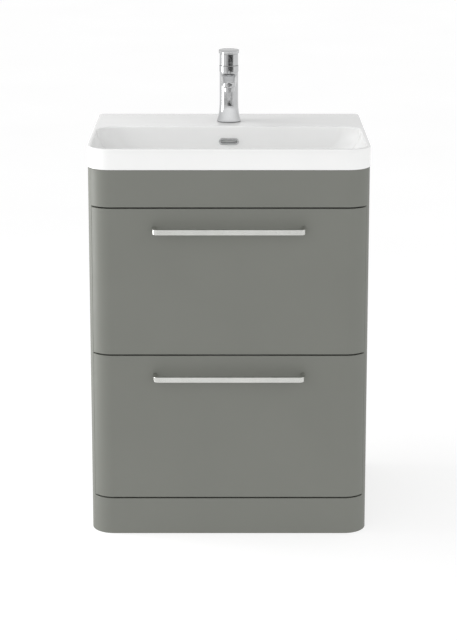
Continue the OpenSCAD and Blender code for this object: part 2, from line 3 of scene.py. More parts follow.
import bmesh
import bpy
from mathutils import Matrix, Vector


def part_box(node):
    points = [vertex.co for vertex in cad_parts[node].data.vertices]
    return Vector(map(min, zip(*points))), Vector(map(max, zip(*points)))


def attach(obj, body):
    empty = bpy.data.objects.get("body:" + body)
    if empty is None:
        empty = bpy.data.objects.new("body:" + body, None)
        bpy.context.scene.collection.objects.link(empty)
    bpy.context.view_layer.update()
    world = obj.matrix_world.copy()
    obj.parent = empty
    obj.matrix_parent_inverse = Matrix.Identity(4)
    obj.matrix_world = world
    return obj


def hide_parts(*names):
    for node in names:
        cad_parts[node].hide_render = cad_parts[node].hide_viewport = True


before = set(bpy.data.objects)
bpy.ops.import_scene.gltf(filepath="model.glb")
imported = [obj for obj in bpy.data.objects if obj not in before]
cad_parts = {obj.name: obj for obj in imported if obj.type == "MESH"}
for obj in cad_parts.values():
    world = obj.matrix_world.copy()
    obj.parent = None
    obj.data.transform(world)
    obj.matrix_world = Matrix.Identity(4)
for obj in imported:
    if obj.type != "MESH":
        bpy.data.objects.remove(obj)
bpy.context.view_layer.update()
MM = 0.001
SHARP_ANGLE = 35  # degrees between faces that stay a crisp edge
FLAT_ANGLE = 1  # degrees under which CAD facets count as one face
MERGE_DISTANCE = 1e-7
TINY = 0.001 * MM


# ---- meshes ----

def new_object(name, verts, faces, smooth_angle=SHARP_ANGLE):
    mesh = bpy.data.meshes.new(name)
    mesh.from_pydata([tuple(v) for v in verts], [], faces)
    bm = bmesh.new()
    bm.from_mesh(mesh)
    bmesh.ops.remove_doubles(bm, verts=bm.verts, dist=MERGE_DISTANCE)
    bmesh.ops.recalc_face_normals(bm, faces=bm.faces)
    bm.to_mesh(mesh)
    bm.free()
    mesh.shade_smooth()
    mesh.set_sharp_from_angle(angle=math.radians(smooth_angle))
    obj = bpy.data.objects.new(name, mesh)
    bpy.context.scene.collection.objects.link(obj)
    return obj


def loft_faces(count, per_ring, cyclic=False, caps=(False, False)):
    """Quads between neighbouring rings of the same number of points."""
    faces = []
    for i in range(count if cyclic else count - 1):
        a, b = i * per_ring, (i + 1) % count * per_ring
        for j in range(per_ring):
            k = (j + 1) % per_ring
            faces.append((a + j, a + k, b + k, b + j))
    if caps[0]:
        faces.append(tuple(range(per_ring)))
    if caps[1]:
        faces.append(tuple(range((count - 1) * per_ring, count * per_ring)))
    return faces


def loft(name, rings, cyclic=False, caps=(False, False), smooth_angle=SHARP_ANGLE):
    faces = loft_faces(len(rings), len(rings[0]), cyclic, caps)
    return new_object(name, [p for ring in rings for p in ring], faces, smooth_angle)


def even_normals(obj):
    """Keeps the large faces flat where they meet small rounded ones."""
    m = obj.modifiers.new("normals", "WEIGHTED_NORMAL")
    m.keep_sharp = True
    return obj


def bevel(obj, width, segments=3, angle=40):
    m = obj.modifiers.new("edges", "BEVEL")
    m.width, m.segments, m.limit_method = width, segments, "ANGLE"
    m.angle_limit = math.radians(angle)
    m.use_clamp_overlap = True
    m.miter_outer = "MITER_ARC"
    return even_normals(obj)


def prism(name, outline, z0, z1, width, segments=3, angle=40):
    """An outline seen from above, carried from z0 to z1, with soft edges."""
    rings = [[(x, y, z) for x, y in outline] for z in (z0, z1)]
    return bevel(loft(name, rings, caps=(True, True)), width, segments, angle)


def rounded(points, radii, steps=5):
    """A closed outline with each corner turned into an arc of its own radius."""
    out, n = [], len(points)
    for i, (p, r) in enumerate(zip(points, radii)):
        if r <= 0:
            out.append(tuple(p))
            continue
        p = Vector(p)
        a, b = Vector(points[i - 1]) - p, Vector(points[(i + 1) % n]) - p
        half = a.angle(b) / 2
        setback = r / math.tan(half)
        a.normalize()
        b.normalize()
        centre = p + (a + b).normalized() * (r / math.sin(half))
        start, end = p + a * setback - centre, p + b * setback - centre
        turn = start.angle_signed(end)
        for s in range(steps + 1):
            t = -turn * s / steps
            out.append((centre.x + start.x * math.cos(t) - start.y * math.sin(t),
                        centre.y + start.x * math.sin(t) + start.y * math.cos(t)))
    return out


def lathe(name, profile, centre, sides=96, wave=None):
    """A closed profile of (radius, height) turned round an upright axis.

    wave(angle, radius, height) gives a radius of its own to each point.
    """
    verts, faces, n = [], [], len(profile)
    for r, z in profile:
        for k in range(sides):
            a = 2 * math.pi * k / sides
            rr = wave(a, r, z) if wave else r
            verts.append((centre[0] + rr * math.cos(a), centre[1] + rr * math.sin(a), z))
    for i in range(n):
        for k in range(sides):
            a, b, kk = i * sides, (i + 1) % n * sides, (k + 1) % sides
            faces.append((a + k, a + kk, b + kk, b + k))
    return even_normals(new_object(name, verts, faces))


def cut(obj, *cutters):
    """Takes the cutters out of a mesh for good, and deletes them."""
    for c in cutters:
        m = obj.modifiers.new("cut", "BOOLEAN")
        m.operation, m.object, m.solver = "DIFFERENCE", c, "EXACT"
    graph = bpy.context.evaluated_depsgraph_get()
    mesh = bpy.data.meshes.new_from_object(obj.evaluated_get(graph))
    obj.modifiers.clear()
    obj.data = mesh
    for c in cutters:
        bpy.data.objects.remove(c)
    mesh.set_sharp_from_angle(angle=math.radians(SHARP_ANGLE))
    return obj


def block(low, high):
    """A box-shaped cutter between two corners."""
    corners = [(x, y, z) for z in (low[2], high[2]) for x, y in
               ((low[0], low[1]), (high[0], low[1]), (high[0], high[1]), (low[0], high[1]))]
    return loft("cutter", [corners[:4], corners[4:]], caps=(True, True))


def rod(radius, start, end, sides=64):
    """A plain round cutter from one point to another."""
    start, end = Vector(start), Vector(end)
    turn = (end - start).to_track_quat("Z", "Y")
    rings = [[at + turn @ Vector((radius * math.cos(2 * math.pi * k / sides),
                                  radius * math.sin(2 * math.pi * k / sides), 0))
              for k in range(sides)] for at in (start, end)]
    return loft("cutter", rings, caps=(True, True))


def join(name, *parts):
    """One object from several, with their meshes side by side."""
    bm = bmesh.new()
    for p in parts:
        bm.from_mesh(p.data)
    mesh = bpy.data.meshes.new(name)
    bm.to_mesh(mesh)
    bm.free()
    for p in parts:
        bpy.data.objects.remove(p)
    obj = bpy.data.objects.new(name, mesh)
    bpy.context.scene.collection.objects.link(obj)
    mesh.set_sharp_from_angle(angle=math.radians(SHARP_ANGLE))
    return obj


def arc(cx, cy, r, start, end, n):
    """n points round a centre, from one angle to another in degrees."""
    angles = [math.radians(start + (end - start) * i / (n - 1)) for i in range(n)]
    return [(cx + r * math.cos(a), cy + r * math.sin(a)) for a in angles]


def between(a, b, n):
    """n points strictly between two others."""
    shares = [i / (n + 1) for i in range(1, n + 1)]
    return [(a[0] + (b[0] - a[0]) * s, a[1] + (b[1] - a[1]) * s) for s in shares]


def oblong(w, h, n=13):
    """Outline with round ends, w wide and h high."""
    return arc((w - h) / 2, 0, h / 2, -90, 90, n) + arc((h - w) / 2, 0, h / 2, 90, 270, n)


def plan(hw, y0, y1, rf, rb):
    """Outline seen from above, with front corners of radius rf and rear ones of radius rb.

    The number of points is always the same, so that outlines can be lofted.
    """
    corner, front, side = 16, 24, 12
    fl = arc(rf - hw, y0 + rf, rf, 180, 270, corner)
    fr = arc(hw - rf, y0 + rf, rf, 270, 360, corner)
    rr = arc(hw - rb, y1 - rb, rb, 0, 90, corner)
    rl = arc(rb - hw, y1 - rb, rb, 90, 180, corner)
    return (fl + between(fl[-1], fr[0], front) + fr + between(fr[-1], rr[0], side)
            + rr + between(rr[-1], rl[0], front) + rl + between(rl[-1], fl[0], side))


# ---- materials ----

class Nodes:
    """A material with a Principled shader and short ways to add the nodes that vary it."""

    def __init__(self, name, rough=0.5, metallic=0.0, **sockets):
        self.mat = bpy.data.materials.new(name)
        self.mat.use_nodes = True
        self.tree = self.mat.node_tree
        self.shader = self.tree.nodes["Principled BSDF"]
        self.shader.inputs["Roughness"].default_value = rough
        self.shader.inputs["Metallic"].default_value = metallic
        for key, value in sockets.items():
            self.shader.inputs[key.replace("_", " ")].default_value = value
        self.coords = self.add("ShaderNodeTexCoord").outputs["Object"]
        self.normal = None

    def add(self, kind, **values):
        node = self.tree.nodes.new(kind)
        for key, value in values.items():
            setattr(node, key, value)
        return node

    def link(self, a, b):
        self.tree.links.new(a, b)

    def stretched(self, scale):
        node = self.add("ShaderNodeMapping")
        node.inputs["Scale"].default_value = scale
        self.link(self.coords, node.inputs["Vector"])
        return node.outputs["Vector"]

    def noise(self, scale, detail=3.0, rough=0.5, stretch=None):
        node = self.add("ShaderNodeTexNoise")
        node.inputs["Scale"].default_value = scale
        node.inputs["Detail"].default_value = detail
        node.inputs["Roughness"].default_value = rough
        self.link(self.stretched(stretch) if stretch else self.coords, node.inputs["Vector"])
        return node.outputs["Fac"]

    def cells(self, scale):
        node = self.add("ShaderNodeTexVoronoi")
        node.inputs["Scale"].default_value = scale
        self.link(self.coords, node.inputs["Vector"])
        return node.outputs["Color"]

    def ramp(self, value, low, high, at=(0.3, 0.7)):
        """A value from low to high as the input goes from at[0] to at[1]."""
        node = self.add("ShaderNodeMapRange")
        for key, v in (("From Min", at[0]), ("From Max", at[1]), ("To Min", low), ("To Max", high)):
            node.inputs[key].default_value = v
        self.link(value, node.inputs["Value"])
        return node.outputs["Result"]

    def colour(self, value, low, high, at=(0.3, 0.7)):
        node = self.add("ShaderNodeValToRGB")
        node.color_ramp.elements[0].position, node.color_ramp.elements[1].position = at
        node.color_ramp.elements[0].color = (*low, 1)
        node.color_ramp.elements[1].color = (*high, 1)
        self.link(value, node.inputs["Fac"])
        return node.outputs["Color"]

    def base(self, value, low, high, at=(0.3, 0.7)):
        self.link(self.colour(value, low, high, at), self.shader.inputs["Base Color"])

    def gloss(self, value, low, high, at=(0.3, 0.7)):
        self.link(self.ramp(value, low, high, at), self.shader.inputs["Roughness"])

    def bump(self, value, distance, strength=1.0):
        node = self.add("ShaderNodeBump")
        node.inputs["Strength"].default_value = strength
        node.inputs["Distance"].default_value = distance
        self.link(value, node.inputs["Height"])
        if self.normal:
            self.link(self.normal, node.inputs["Normal"])
        self.normal = node.outputs["Normal"]
        self.link(self.normal, self.shader.inputs["Normal"])
        return self


def make_materials():
    m = {}
    n = Nodes("satin_grey_lacquer", 0.5)
    n.base(n.noise(5, 4), (0.161, 0.166, 0.147), (0.170, 0.175, 0.155))
    n.gloss(n.noise(9, 3), 0.47, 0.55)
    m["lacquer"] = n.bump(n.noise(420, 2), 0.00002, 0.35).bump(n.noise(7, 2), 0.0004, 0.10)

    n = Nodes("glazed_ceramic", 0.13, Coat_Weight=0.25, Coat_Roughness=0.06)
    n.base(n.noise(11, 3), (0.845, 0.847, 0.842), (0.862, 0.864, 0.860))
    n.gloss(n.noise(18, 3), 0.11, 0.17)
    m["ceramic"] = n.bump(n.noise(22, 2), 0.0004, 0.04).bump(n.noise(500, 2), 0.00001, 0.10)

    n = Nodes("polished_chrome", 0.05, 1.0)
    n.base(n.noise(40, 3), (0.50, 0.505, 0.51), (0.54, 0.545, 0.55))
    n.gloss(n.noise(90, 4, 0.6), 0.05, 0.11)
    m["chrome"] = n.bump(n.noise(160, 2), 0.00001, 0.04)

    n = Nodes("satin_chrome", 0.26, 1.0)
    n.base(n.noise(30, 3), (0.585, 0.59, 0.565), (0.64, 0.645, 0.62))
    n.gloss(n.noise(700, 3, 0.6, (0.03, 1, 1)), 0.20, 0.30)
    m["handle"] = n.bump(n.noise(900, 2, 0.5, (0.03, 1, 1)), 0.00001, 0.15)

    n = Nodes("zinc_plated_steel", 0.36, 1.0)
    n.base(n.cells(170), (0.50, 0.515, 0.53), (0.70, 0.71, 0.72), (0.1, 0.9))
    n.gloss(n.noise(120, 4, 0.6), 0.28, 0.46)
    m["zinc"] = n.bump(n.noise(900, 3, 0.6, (1, 0.02, 1)), 0.00002, 0.35)

    n = Nodes("turned_brass", 0.28, 1.0)
    n.base(n.noise(130, 4), (0.66, 0.47, 0.20), (0.80, 0.61, 0.30))
    n.gloss(n.noise(200, 4), 0.20, 0.36)
    m["brass"] = n.bump(n.noise(2200, 2, 0.5, (0.05, 0.05, 1)), 0.00003, 0.4)

    n = Nodes("black_rubber", 0.8)
    n.base(n.noise(300, 4), (0.016, 0.016, 0.017), (0.034, 0.034, 0.035))
    n.gloss(n.noise(500, 3), 0.72, 0.90)
    m["rubber"] = n.bump(n.noise(1800, 3), 0.00006, 0.6)

    n = Nodes("drawer_melamine", 0.45)
    n.base(n.noise(60, 5, 0.6, (1, 0.06, 1)), (0.60, 0.60, 0.575), (0.66, 0.66, 0.64))
    n.gloss(n.noise(140, 4, 0.6, (1, 0.08, 1)), 0.40, 0.54)
    m["drawer"] = n.bump(n.noise(900, 4, 0.6, (1, 0.05, 1)), 0.00005, 0.5)

    n = Nodes("carcass_melamine", 0.5)
    n.base(n.noise(55, 5, 0.6, (0.07, 1, 1)), (0.42, 0.42, 0.40), (0.49, 0.49, 0.47))
    n.gloss(n.noise(140, 4, 0.6, (0.08, 1, 1)), 0.44, 0.60)
    m["carcass"] = n.bump(n.noise(800, 4, 0.6, (0.05, 1, 1)), 0.00006, 0.5)

    n = Nodes("white_moulded_plastic", 0.32)
    n.base(n.noise(45, 3), (0.74, 0.74, 0.725), (0.79, 0.79, 0.78))
    n.gloss(n.noise(160, 3), 0.26, 0.40)
    m["white_plastic"] = n.bump(n.noise(60, 2), 0.0003, 0.12).bump(n.noise(1400, 2), 0.00001, 0.3)

    n = Nodes("grey_moulded_plastic", 0.5)
    n.base(n.noise(60, 3), (0.34, 0.345, 0.35), (0.38, 0.385, 0.39))
    n.gloss(n.noise(300, 3), 0.44, 0.58)
    m["grey_plastic"] = n.bump(n.noise(1300, 3), 0.00005, 0.6)

    n = Nodes("cartridge_plastic", 0.4)
    n.base(n.noise(120, 3), (0.62, 0.60, 0.54), (0.70, 0.68, 0.62))
    n.gloss(n.noise(300, 3), 0.34, 0.46)
    m["cartridge"] = n.bump(n.noise(1200, 2), 0.00002, 0.3)
    return {key: n.mat for key, n in m.items()}


MATERIALS = make_materials()


def finish_piece(obj, body, material, slot, *nodes):
    """Gives a new piece its material and its body, and hides the CAD nodes that it stands for. The slot
    argument is not used.
    """
    obj.data.materials.clear()
    obj.data.materials.append(MATERIALS[material])
    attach(obj, body)
    if nodes:
        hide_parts(*nodes)


def dress(node, material, width=0.5 * MM, segments=2):
    """Keeps a CAD node, with soft edges and a material."""
    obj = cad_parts[node]
    obj.data.materials.clear()
    obj.data.materials.append(MATERIALS[material])
    weld = obj.modifiers.new("weld", "WELD")
    weld.merge_threshold = TINY
    flat = obj.modifiers.new("flat", "DECIMATE")
    flat.decimate_type, flat.angle_limit = "DISSOLVE", math.radians(FLAT_ANGLE)
    bevel(obj, width, segments)


# ---- the cabinet's lacquered boards ----

BASIN_LOW, BASIN_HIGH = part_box("basin")
RIM_Z, BACK_Y, FRONT_Y = BASIN_HIGH.z, BASIN_HIGH.y, BASIN_LOW.y
BODY_R = 49 * MM  # the cabinet's rounded front corners
EDGE = 0.9 * MM


def corner_arc(hw, front, y_end, r, steps=24):
    """The right front corner, from the front plane back to y_end."""
    end = math.degrees(math.asin(min(1.0, (front + r - y_end) / r)))
    return arc(hw - r, front + r, r, -90, -end, steps)


def front_board(name, node, body):
    low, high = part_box(node)
    half_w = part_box("side_panel_right")[1].x
    right = corner_arc(half_w, low.y, high.y, BODY_R)
    left = [(-x, y) for x, y in reversed(right)]
    outline = left + between(left[-1], right[0], 12) + right
    board = prism(name, outline, low.z, high.z, EDGE)
    finish_piece(board, body, "lacquer", "grey_lacquer", node)


def side_board(name, node):
    low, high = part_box(node)
    sign = 1 if high.x > 0 else -1
    inner, outer = (low.x, high.x) if sign > 0 else (-high.x, -low.x)
    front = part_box("upper_drawer_front")[0].y
    a = -math.degrees(math.asin((front + BODY_R - low.y) / BODY_R))
    curve = arc(outer - BODY_R, front + BODY_R, BODY_R, a, 0, 16)
    outline = [(inner, low.y)] + curve + [(outer, high.y), (inner, high.y)]
    outline = [(sign * x, y) for x, y in outline]
    board = prism(name, outline, low.z, high.z, EDGE, angle=30)
    finish_piece(board, "cabinet", "lacquer", "grey_lacquer", node)


def build_fronts():
    front_board("plinth", "plinth_front", "cabinet")
    front_board("fascia", "top_fascia", "cabinet")
    for side in ("left", "right"):
        side_board(f"cabinet_side_{side}", f"side_panel_{side}")
    for level in ("upper", "lower"):
        front_board(f"{level}_front_board", f"{level}_drawer_front", f"drawer_{level}")


# ---- handles ----

def build_handle(level):
    """A bow handle: one bar with a soft section that bends back to the drawer front at both ends."""
    node = f"{level}_handle"
    low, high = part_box(node)
    half_t, half_h = 4 * MM, (high.z - low.z) / 2
    z, bend = (low.z + high.z) / 2, 8 * MM
    turn_points, bar_points = 13, 11
    x_leg, y_bar = high.x - half_t, low.y + half_t

    # the right half's middle line and its directions, which the left half mirrors
    turn = arc(x_leg - bend, y_bar + bend, bend, -90, 0, turn_points) + [(x_leg, high.y)]
    angles = [math.pi / 2 * i / (turn_points - 1) for i in range(turn_points)]
    ways = [(math.cos(a), math.sin(a)) for a in angles] + [(0, 1)]
    bar = between((bend - x_leg, y_bar), (x_leg - bend, y_bar), bar_points)
    line = [(-x, y) for x, y in reversed(turn)] + bar + turn
    ways = [(x, -y) for x, y in reversed(ways)] + [(1, 0)] * bar_points + ways

    corner = 1.5 * MM
    flat = [(-half_t, -half_h), (half_t, -half_h), (half_t, half_h), (-half_t, half_h)]
    section = rounded(flat, [corner] * 4, 6)
    rings = [[(x + u * way_y, y - u * way_x, z + v) for u, v in section]
             for (x, y), (way_x, way_y) in zip(line, ways)]
    handle = even_normals(loft(f"{level}_bow_handle", rings, caps=(True, True), smooth_angle=30))
    finish_piece(handle, f"drawer_{level}", "handle", "chrome", node)


# ---- basin ----

RIM_T, WALL = 8.5 * MM, 8 * MM
BASIN_R, REAR_R = 50 * MM, 12 * MM
BOWL_FRONT_R, BOWL_REAR_R = BASIN_R - RIM_T, 50 * MM
SIDE_NARROWING, SIDE_CURVE = 150 * MM, 1.8
FRONT_NARROWING, FRONT_CURVE = 130 * MM, 1.5
REAR_NARROWING, REAR_CURVE = 60 * MM, 3.0
BOWL_FRONT_Y = FRONT_Y + RIM_T
BOWL_REAR_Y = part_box("overflow_cover")[0].y + 3.8 * MM
BOWL_FLOOR_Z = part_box("waste_seal")[0].z
WASTE_HOLE_R = 22 * MM
SOFT_EDGE, SOFT_EDGE_REAR = 3.6 * MM, 5.5 * MM  # wider where the bowl meets the ledge


def closing(t, power):
    """How far the bowl has closed in at depth t, both as shares of the whole."""
    return 1 - (1 - t ** power) ** (1 / power)


def bowl_edges(t):
    """The bowl's half width, front, rear and rear corner radius at depth t."""
    return (BASIN_HIGH.x - RIM_T - SIDE_NARROWING * closing(t, SIDE_CURVE),
            BOWL_FRONT_Y + FRONT_NARROWING * closing(t, FRONT_CURVE),
            BOWL_REAR_Y - REAR_NARROWING * closing(t, REAR_CURVE),
            BOWL_REAR_R * (1 - 0.4 * t))


def bowl(t, grow=0.0, behind=0.0):
    """The bowl's outline at depth t, moved outwards at the sides and front, and at the rear."""
    half_w, front, rear, rear_r = bowl_edges(t)
    return plan(half_w + grow, front - grow, rear + behind,
                BOWL_FRONT_R + grow * 0.9, rear_r + min(grow, behind))


def basin_outline(inset):
    """The basin's outline, moved inwards."""
    return plan(BASIN_HIGH.x - inset, FRONT_Y + inset, BACK_Y - inset, BASIN_R - inset, REAR_R - inset)


def at_height(outline, z):
    return [(x, y, z) for x, y in outline]


def round_the_waste(radius, share, z):
    """A ring between a circle round the waste (share 0) and the edge of the bowl's floor (share 1)."""
    waste_y = sum(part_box("waste_seal"), Vector()).y / 2
    ring = []
    for x, y in bowl(1.0):
        a = math.atan2(y - waste_y, x)
        cx, cy = radius * math.cos(a), waste_y + radius * math.sin(a)
        ring.append((cx + (x - cx) * share, cy + (y - cy) * share, z))
    return ring


def bowl_rings():
    """The inside: the floor's slight fall, the walls, and the soft edge at the top."""
    depth, fall, edge_depth = RIM_Z - BOWL_FLOOR_Z, 0.6 * MM, 5 * MM
    flat_r = WASTE_HOLE_R + 11 * MM
    rings = [round_the_waste(WASTE_HOLE_R, 0, BOWL_FLOOR_Z)]
    rings += [round_the_waste(flat_r, s, BOWL_FLOOR_Z + fall * s) for s in (0, 0.25, 0.5, 0.75)]
    levels = 30
    for i in range(levels):
        t = math.sin(math.pi / 2 * (1 - i / levels))
        z = max(RIM_Z - depth * t, BOWL_FLOOR_Z + fall)
        if RIM_Z - z > edge_depth:
            rings.append(at_height(bowl(t), z))
    steps = 8
    for i in range(steps + 1):
        a = math.pi / 2 * i / steps
        out, down = 1 - math.cos(a), 1 - math.sin(a)
        rings.append(at_height(bowl(0.0, SOFT_EDGE * out, SOFT_EDGE_REAR * out), RIM_Z - SOFT_EDGE * down))
    return rings


def outside_rings(base_z):
    """The rim, the upright outside and its foot on the cabinet."""
    edge, foot = 2.8 * MM, 2.2 * MM
    crown = bowl(0.0, SOFT_EDGE, SOFT_EDGE_REAR)
    middle = [((x0 + x1) / 2, (y0 + y1) / 2) for (x0, y0), (x1, y1) in zip(crown, basin_outline(edge))]
    rings = [at_height(middle, RIM_Z)]
    for i in range(8):
        a = math.pi / 2 * i / 7
        rings.append(at_height(basin_outline(edge * (1 - math.sin(a))), RIM_Z - edge * (1 - math.cos(a))))
    rings += [at_height(basin_outline(0), base_z + (RIM_Z - base_z) * s) for s in (0.7, 0.4)]
    for i in range(6):
        a = math.pi / 2 * i / 5
        rings.append(at_height(basin_outline(foot * (1 - math.cos(a))), base_z + foot * (1 - math.sin(a))))
    return rings


def shell_rings(base_z):
    """The underside of the bowl, kept clear of the boards round it."""
    clearance, steps = 2 * MM, 12
    side_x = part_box("side_panel_right")[0].x - clearance
    panel_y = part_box("side_panel_right")[0].y + clearance
    depth = RIM_Z - BASIN_LOW.z
    first = (RIM_Z - base_z) / depth
    rings = []
    for i in range(steps + 1):
        t = first + (1 - first) * math.sin(math.pi / 2 * i / steps)
        half_w, front, rear, rear_r = bowl_edges(t)
        half_w, front = min(half_w + WALL, side_x), max(front - WALL, panel_y)
        ring = plan(half_w, front, rear + WALL, BOWL_FRONT_R, rear_r)
        rings.append(at_height(ring, RIM_Z - depth * t))
    return rings


def build_basin():
    hw, base_z = BASIN_HIGH.x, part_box("top_fascia")[1].z
    rings = bowl_rings() + outside_rings(base_z) + shell_rings(base_z)
    rings.append(round_the_waste(WASTE_HOLE_R, 0, BASIN_LOW.z))
    basin = loft("ceramic_basin", rings, cyclic=True, smooth_angle=40)

    tap = sum(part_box("tap_base_seal"), Vector()) / 2
    overflow_z = sum(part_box("overflow_cover"), Vector()).z / 2
    ledge_wall, ledge_front_wall, ledge_top_t = 10 * MM, 13 * MM, 12 * MM
    slot = loft("cutter", [[(x, y, overflow_z + v) for x, v in oblong(38 * MM, 11 * MM)]
                           for y in (BOWL_REAR_Y - 20 * MM, BOWL_REAR_Y + 9 * MM)], caps=(True, True))
    cut(basin,
        block((ledge_wall - hw, BOWL_REAR_Y + ledge_front_wall, base_z - 5 * MM),
              (hw - ledge_wall, BACK_Y - ledge_wall, RIM_Z - ledge_top_t)),
        rod(17.5 * MM, (tap.x, tap.y, RIM_Z - 13 * MM), (tap.x, tap.y, RIM_Z + 5 * MM)),
        slot)
    finish_piece(basin, "cabinet", "ceramic", "white_ceramic", "basin")


def build_overflow_cover():
    low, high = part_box("overflow_cover")
    zc = (low.z + high.z) / 2
    w, h = high.x - low.x, high.z - low.z
    face_y, plane_y, end_y = low.y, low.y + 2.2 * MM, high.y
    ring_w, sleeve = 4.0 * MM, 2.8 * MM
    profile = [  # (inset of the oblong, y), from the back of the flange over the face and down the sleeve
        (0.0, plane_y), (0.0, face_y + 1.0 * MM), (0.3 * MM, face_y + 0.35 * MM), (1.0 * MM, face_y),
        (2.6 * MM, face_y + 0.1 * MM), (3.4 * MM, face_y + 0.5 * MM), (ring_w, face_y + 1.3 * MM),
        (ring_w, end_y), (sleeve, end_y), (sleeve, plane_y)]
    rings = [[(x, y, zc + v) for x, v in oblong(w - 2 * inset, h - 2 * inset)] for inset, y in profile]
    cover = loft("overflow_ring", rings, cyclic=True, smooth_angle=50)
    finish_piece(cover, "cabinet", "chrome", "chrome", "overflow_cover")


# ---- waste ----

def build_waste():
    """The plug: a stem, a disc that fits the tube, and a domed cap with a soft edge."""
    low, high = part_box("waste_plug")
    centre = ((low.x + high.x) / 2, (low.y + high.y) / 2)
    flange_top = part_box("waste_body")[1].z
    cap_z, tip_r = flange_top + 0.02 * MM, 0.05 * MM
    stem_r, disc_r, disc_z = 4 * MM, 16 * MM, flange_top - 3 * MM
    r, dome_z = high.x - centre[0], flange_top + 2.0 * MM
    rise, steps = high.z - dome_z, 12
    profile = [(tip_r, low.z), (stem_r - 0.4 * MM, low.z), (stem_r, low.z + 0.6 * MM), (stem_r, disc_z),
               (disc_r - 0.4 * MM, disc_z), (disc_r, disc_z + 0.4 * MM), (disc_r, cap_z),
               (r - 0.5 * MM, cap_z), (r, flange_top + 0.5 * MM), (r, flange_top + 1.6 * MM)]
    for i in range(steps):
        a = math.pi / 2 * i / steps
        profile.append((r * 0.99 * math.cos(a), dome_z + rise * math.sin(a)))
    plug = lathe("push_plug", profile + [(tip_r, high.z)], centre)
    finish_piece(plug, "waste_plug", "chrome", "chrome", "waste_plug")


# ---- tap ----

TAP_AXIS = sum(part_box("tap_collar"), Vector()) / 2
TAP_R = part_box("tap_head")[1].x
COLLAR_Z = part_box("tap_collar")[0].z
BORE_R = 16.3 * MM  # the cartridge's seat


def build_upright():
    """A bell foot, a plain shaft and a small step under the collar."""
    base_r, base_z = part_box("tap_body")[1].x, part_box("tap_base_seal")[1].z
    flare_h, steps, hollow_r, seat = 55 * MM, 24, 9 * MM, 10 * MM
    foot = [(TAP_R + (base_r - TAP_R) * (1 - h) ** 3, base_z + flare_h * h)
            for h in [i / steps for i in range(1, steps + 1)]]
    profile = [(hollow_r, base_z), (base_r - 0.9 * MM, base_z), (base_r - 0.25 * MM, base_z + 0.3 * MM),
               (base_r - 0.05 * MM, base_z + 0.9 * MM)] + foot
    profile += [(TAP_R, COLLAR_Z - 12 * MM), (TAP_R, COLLAR_Z - 0.6 * MM),
                (TAP_R - 0.2 * MM, COLLAR_Z - 0.2 * MM), (TAP_R - 0.7 * MM, COLLAR_Z),
                (BORE_R, COLLAR_Z), (BORE_R, COLLAR_Z - seat), (hollow_r, COLLAR_Z - seat)]
    return lathe("upright", profile, TAP_AXIS, sides=128)


ROOT_Y, TIP_Y = 8 * MM, 95 * MM  # how far in front of the axis the spout's taper begins and ends
TIP_R = 15 * MM


def spout_section(y):
    """Points of the spout's section at a distance in front of the axis, with their outward directions."""
    s = min(1.0, max(0.0, (y - ROOT_Y) / (TIP_Y - ROOT_Y)))
    half_w, half_h = (17 - 2 * s) * MM, (13 - 6.5 * s) * MM
    if y > TIP_Y:
        half_w = math.sqrt(max(0.0, TIP_R ** 2 - (y - TIP_Y) ** 2))
    zc = COLLAR_Z - (16 - 0.5 * s) * MM
    points, power = 48, 0.42  # a power of 1 would give an ellipse, and 0 a rectangle
    out = []
    for k in range(points):
        t = 2 * math.pi * (k + 0.5) / points
        c, q = math.cos(t), math.sin(t)
        out.append((half_w * math.copysign(abs(c) ** power, c),
                    zc + half_h * math.copysign(abs(q) ** power, q), c, q))
    return out


def build_spout():
    """A soft rectangle that grows out of the upright with a fillet and ends round, seen from above."""
    fillet, steps = 4.5 * MM, 8
    widest, steepest = TAP_R * 0.985, 0.2  # limits that keep the fillet on the upright
    overlap, aerator_r = 0.05 * MM, 12.1 * MM
    tip_steps, tip_end = 12, 87.6  # degrees, short of 90 so that the last ring keeps some width
    length = TAP_AXIS.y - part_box("tap_body")[0].y
    rings = []
    for i in range(steps + 1):
        phi = math.pi / 2 * i / steps
        ring = []
        for x, z, c, q in spout_section(TAP_R + fillet):
            room = max(0.0, widest - abs(x)) / max(abs(c), steepest)
            f = min(fillet, room)
            grow = f * (1 - math.sin(phi))
            x, z = x + c * grow, z + q * grow
            y = math.sqrt(max(0.0, TAP_R * TAP_R - x * x)) + f * (1 - math.cos(phi)) - overlap
            ring.append((TAP_AXIS.x + x, TAP_AXIS.y - y, z))
        rings.append(ring)
    start = TAP_R + fillet
    distances = [start + (TIP_Y - start) * i / steps for i in range(1, steps + 1)]
    distances += [TIP_Y + (length - TIP_Y) * math.sin(math.radians(tip_end * i / tip_steps))
                  for i in range(1, tip_steps + 1)]
    for y in distances:
        rings.append([(TAP_AXIS.x + x, TAP_AXIS.y - y, z) for x, z, _, _ in spout_section(y)])
    spout = loft("spout", rings, caps=(True, True), smooth_angle=60)
    low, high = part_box("tap_aerator")
    x, y = (low.x + high.x) / 2, (low.y + high.y) / 2
    return cut(spout, rod(aerator_r, (x, y, low.z - 5 * MM), (x, y, high.z)))


